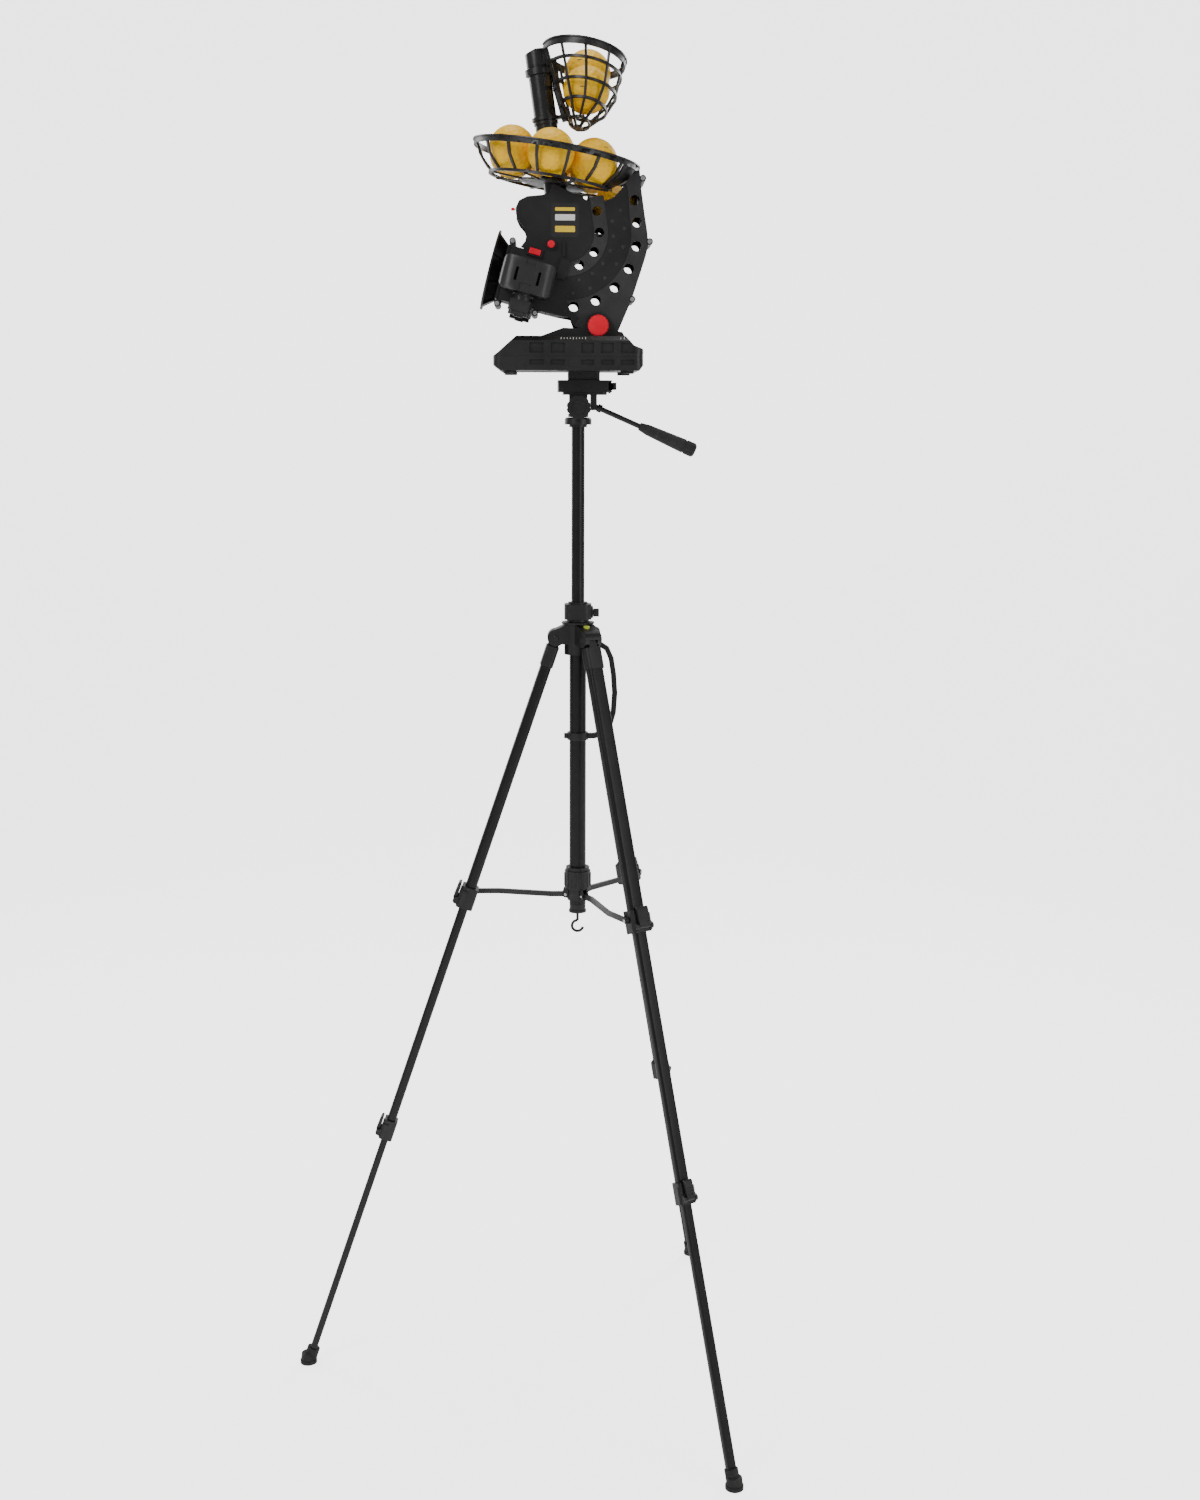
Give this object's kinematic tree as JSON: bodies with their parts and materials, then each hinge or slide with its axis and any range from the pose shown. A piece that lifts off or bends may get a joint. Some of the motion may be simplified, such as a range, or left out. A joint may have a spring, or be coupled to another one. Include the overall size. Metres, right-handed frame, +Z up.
{
  "type": "pitching machine",
  "caption": "Wheel-driven practice-ball pitching machine with a ball tray and upper basket, on a battery base held by a folding telescopic three-leg stand.",
  "frame": {"origin": "on the floor, at the middle of the footprint box", "axes": "+Z up; the ball leaves towards -X; -Y is the side with the switch, feed button and tilt knob"},
  "size_m": [0.7122, 0.818, 2.1361],
  "materials": {
    "black_plastic": "fine satin grain",
    "dark_plastic": "satin",
    "black_tube": "black anodised",
    "brace_metal": "black painted channel",
    "rod_metal": "black painted",
    "rubber_black": "matt",
    "wheel_tyre": "matt ribbed",
    "red_plastic": "gloss",
    "yellow_ball": "dimpled satin",
    "screw_steel": "zinc plated",
    "level_green": "translucent gloss",
    "cell_wrap": "printed wrap",
    "motor_metal": "black painted",
    "post_tube": "satin"
  },
  "bodies": {
    "stand": {"shoulder": "black_plastic", "outer_column_tube": "black_tube", "column_end_plug": "black_plastic", "weight_hook": "rod_metal", "carry_handle": "black_plastic", "bubble_level": "level_green", "column_lock_collar": "black_plastic"},
    "column_lock": {"column_lock_knob": "black_plastic"},
    "left_leg": {"leg_left_upper": "black_tube"},
    "left_upper_lever": {"leg_left_upper_lever": "dark_plastic"},
    "left_leg_middle": {"leg_left_middle": "black_tube"},
    "left_lower_lever": {"leg_left_lower_lever": "dark_plastic"},
    "left_leg_lower": {"leg_left_lower": "black_tube"},
    "front_leg": {"leg_front_upper": "black_tube"},
    "front_upper_lever": {"leg_front_upper_lever": "dark_plastic"},
    "front_leg_middle": {"leg_front_middle": "black_tube"},
    "front_lower_lever": {"leg_front_lower_lever": "dark_plastic"},
    "front_leg_lower": {"leg_front_lower": "black_tube"},
    "rear_leg": {"leg_rear_upper": "black_tube"},
    "rear_upper_lever": {"leg_rear_upper_lever": "dark_plastic"},
    "rear_leg_middle": {"leg_rear_middle": "black_tube"},
    "rear_lower_lever": {"leg_rear_lower_lever": "dark_plastic"},
    "rear_leg_lower": {"leg_rear_lower": "black_tube"},
    "brace_hub": {"brace_hub": "dark_plastic"},
    "left_brace": {"brace_arm_left": "brace_metal"},
    "front_brace": {"brace_arm_front": "brace_metal"},
    "rear_brace": {"brace_arm_rear": "brace_metal"},
    "mast": {"inner_column_tube": "black_tube", "pan_base": "black_plastic"},
    "pan_body": {"pan_body": "black_plastic"},
    "platform": {"tilt_head": "black_plastic", "camera_plate": "dark_plastic", "pan_handle_rod": "rod_metal", "base_lower_shell": "black_plastic", "base_upper_shell": "black_plastic", "base_feet": "rubber_black", "battery_pack": "cell_wrap", "tilt_saddle": "black_plastic"},
    "tilt_lock": {"tilt_lock_knob": "dark_plastic"},
    "plate_lever": {"plate_lever": "black_plastic"},
    "pan_grip": {"pan_handle_grip": "rubber_black"},
    "battery_door": {"battery_door": "dark_plastic"},
    "head_tilt_knob": {"tilt_knob": "red_plastic"},
    "head": {"shell_front": "black_plastic", "shell_back": "black_plastic", "track_walls": "dark_plastic", "shell_screws": "screw_steel", "muzzle": "black_plastic", "wheel_covers": "dark_plastic", "wheel_motors": "motor_metal", "ball_tray": "black_plastic", "basket_post": "post_tube", "upper_basket": "black_plastic", "training_balls": "yellow_ball", "front_lamp": "red_plastic"},
    "front_wheel": {"wheel_front": "wheel_tyre"},
    "back_wheel": {"wheel_back": "wheel_tyre"},
    "power_switch": {"power_switch": "red_plastic"},
    "feed_button": {"feed_button": "red_plastic"},
    "ball_gate": {"ball_gate": "dark_plastic"}
  },
  "joints": [
    {"name": "column_lock_turn", "type": "hinge", "parent": "stand", "child": "column_lock", "pos_m": [0.14405, 0, 1.27839], "axis": [1, 0, 0], "continuous": true},
    {"name": "leg_left_fold", "type": "hinge", "parent": "stand", "child": "left_leg", "pos_m": [0.07905, 0, 1.23938], "axis": [0, -1, 0], "range_deg": [0, 16.5]},
    {"name": "left_upper_lever_flip", "type": "hinge", "parent": "left_leg", "child": "left_upper_lever", "pos_m": [-0.08514, 0, 0.81251], "axis": [0, -1, 0], "range_deg": [0, 100]},
    {"name": "left_leg_middle_slide", "type": "slide", "parent": "left_leg", "child": "left_leg_middle", "axis": [0.3218, 0, 0.9468], "range_m": [0, 0.33]},
    {"name": "left_lower_lever_flip", "type": "hinge", "parent": "left_leg_middle", "child": "left_lower_lever", "pos_m": [-0.21727, 0, 0.41594], "axis": [0, -1, 0], "range_deg": [0, 100]},
    {"name": "left_leg_lower_slide", "type": "slide", "parent": "left_leg_middle", "child": "left_leg_lower", "axis": [0.3218, 0, 0.9468], "range_m": [0, 0.36]},
    {"name": "leg_front_fold", "type": "hinge", "parent": "stand", "child": "front_leg", "pos_m": [0.13155, -0.03031, 1.23938], "axis": [0.866, 0.5, 0], "range_deg": [0, 16.5]},
    {"name": "front_upper_lever_flip", "type": "hinge", "parent": "front_leg", "child": "front_upper_lever", "pos_m": [0.21364, -0.1725, 0.81251], "axis": [0.866, 0.5, 0], "range_deg": [0, 100]},
    {"name": "front_leg_middle_slide", "type": "slide", "parent": "front_leg", "child": "front_leg_middle", "axis": [-0.1609, 0.2787, 0.9468], "range_m": [0, 0.33]},
    {"name": "front_lower_lever_flip", "type": "hinge", "parent": "front_leg_middle", "child": "front_lower_lever", "pos_m": [0.27971, -0.28693, 0.41594], "axis": [0.866, 0.5, 0], "range_deg": [0, 100]},
    {"name": "front_leg_lower_slide", "type": "slide", "parent": "front_leg_middle", "child": "front_leg_lower", "axis": [-0.1609, 0.2787, 0.9468], "range_m": [0, 0.36]},
    {"name": "leg_rear_fold", "type": "hinge", "parent": "stand", "child": "rear_leg", "pos_m": [0.13155, 0.03031, 1.23938], "axis": [-0.866, 0.5, 0], "range_deg": [0, 16.5]},
    {"name": "rear_upper_lever_flip", "type": "hinge", "parent": "rear_leg", "child": "rear_upper_lever", "pos_m": [0.21364, 0.1725, 0.81251], "axis": [-0.866, 0.5, 0], "range_deg": [0, 100]},
    {"name": "rear_leg_middle_slide", "type": "slide", "parent": "rear_leg", "child": "rear_leg_middle", "axis": [-0.1609, -0.2787, 0.9468], "range_m": [0, 0.33]},
    {"name": "rear_lower_lever_flip", "type": "hinge", "parent": "rear_leg_middle", "child": "rear_lower_lever", "pos_m": [0.27971, 0.28693, 0.41594], "axis": [-0.866, 0.5, 0], "range_deg": [0, 100]},
    {"name": "rear_leg_lower_slide", "type": "slide", "parent": "rear_leg_middle", "child": "rear_leg_lower", "axis": [-0.1609, -0.2787, 0.9468], "range_m": [0, 0.36]},
    {"name": "brace_hub_slide", "type": "slide", "parent": "stand", "child": "brace_hub", "axis": [0, 0, 1], "range_m": [0, 0.1283]},
    {"name": "left_brace_fold", "type": "hinge", "parent": "brace_hub", "child": "left_brace", "pos_m": [0.09405, 0, 0.819], "axis": [0, -1, 0], "range_deg": [0, 78.2]},
    {"name": "front_brace_fold", "type": "hinge", "parent": "brace_hub", "child": "front_brace", "pos_m": [0.12405, -0.01732, 0.819], "axis": [0.866, 0.5, 0], "range_deg": [0, 78.2]},
    {"name": "rear_brace_fold", "type": "hinge", "parent": "brace_hub", "child": "rear_brace", "pos_m": [0.12405, 0.01732, 0.819], "axis": [-0.866, 0.5, 0], "range_deg": [0, 78.2]},
    {"name": "column_slide", "type": "slide", "parent": "stand", "child": "mast", "axis": [0, 0, 1], "range_m": [-0.265, 0]},
    {"name": "pan_turn", "type": "hinge", "parent": "mast", "child": "pan_body", "pos_m": [0.11405, 0, 1.583], "axis": [0, 0, 1], "continuous": true},
    {"name": "pan_head_tilt", "type": "hinge", "parent": "pan_body", "child": "platform", "pos_m": [0.11405, 0, 1.598], "axis": [0, 1, 0], "range_deg": [-30, 20]},
    {"name": "tilt_lock_turn", "type": "hinge", "parent": "platform", "child": "tilt_lock", "pos_m": [0.11405, -0.035, 1.598], "axis": [0, 1, 0], "continuous": true},
    {"name": "plate_lever_turn", "type": "hinge", "parent": "platform", "child": "plate_lever", "pos_m": [0.16305, 0.009, 1.63], "axis": [0, 0, 1], "range_deg": [0, 70]},
    {"name": "pan_grip_turn", "type": "hinge", "parent": "platform", "child": "pan_grip", "pos_m": [0.14005, 0, 1.6], "axis": [0.9171, 0, -0.3987], "continuous": true},
    {"name": "battery_door_open", "type": "hinge", "parent": "platform", "child": "battery_door", "pos_m": [-0.00295, 0, 1.6556], "axis": [0, 1, 0], "range_deg": [0, 90]},
    {"name": "head_tilt_knob_turn", "type": "hinge", "parent": "platform", "child": "head_tilt_knob", "pos_m": [0.14305, -0.056, 1.72], "axis": [0, 1, 0], "continuous": true},
    {"name": "head_tilt", "type": "hinge", "parent": "platform", "child": "head", "pos_m": [0.14305, 0, 1.72], "axis": [0, 1, 0], "range_deg": [-8, 15]},
    {"name": "front_wheel_spin", "type": "hinge", "parent": "head", "child": "front_wheel", "pos_m": [0.03664, -0.066, 1.78956], "axis": [0.2588, 0, 0.9659], "continuous": true},
    {"name": "back_wheel_spin", "type": "hinge", "parent": "head", "child": "back_wheel", "pos_m": [0.03664, 0.066, 1.78956], "axis": [0.2588, 0, 0.9659], "continuous": true},
    {"name": "power_switch_rock", "type": "hinge", "parent": "head", "child": "power_switch", "pos_m": [0.04762, -0.0436, 1.82896], "axis": [0.2588, 0, 0.9659], "range_deg": [-8, 8]},
    {"name": "feed_button_press", "type": "slide", "parent": "head", "child": "feed_button", "axis": [0, 1, 0], "range_m": [0, 0.002], "stiffness_N_per_m": 600},
    {"name": "ball_gate_drop", "type": "hinge", "parent": "head", "child": "ball_gate", "pos_m": [0.14155, 0, 1.855], "axis": [0, 1, 0], "range_deg": [0, 95]}
  ],
  "couplings": [
    {"joint": "leg_front_fold", "follows": "leg_left_fold", "ratio": 1},
    {"joint": "leg_rear_fold", "follows": "leg_left_fold", "ratio": 1},
    {"joint": "brace_hub_slide", "follows": "leg_left_fold", "m_per_rad": 0.4445},
    {"joint": "left_brace_fold", "follows": "leg_left_fold", "ratio": 4.727},
    {"joint": "front_brace_fold", "follows": "leg_left_fold", "ratio": 4.727},
    {"joint": "rear_brace_fold", "follows": "leg_left_fold", "ratio": 4.727}
  ]
}
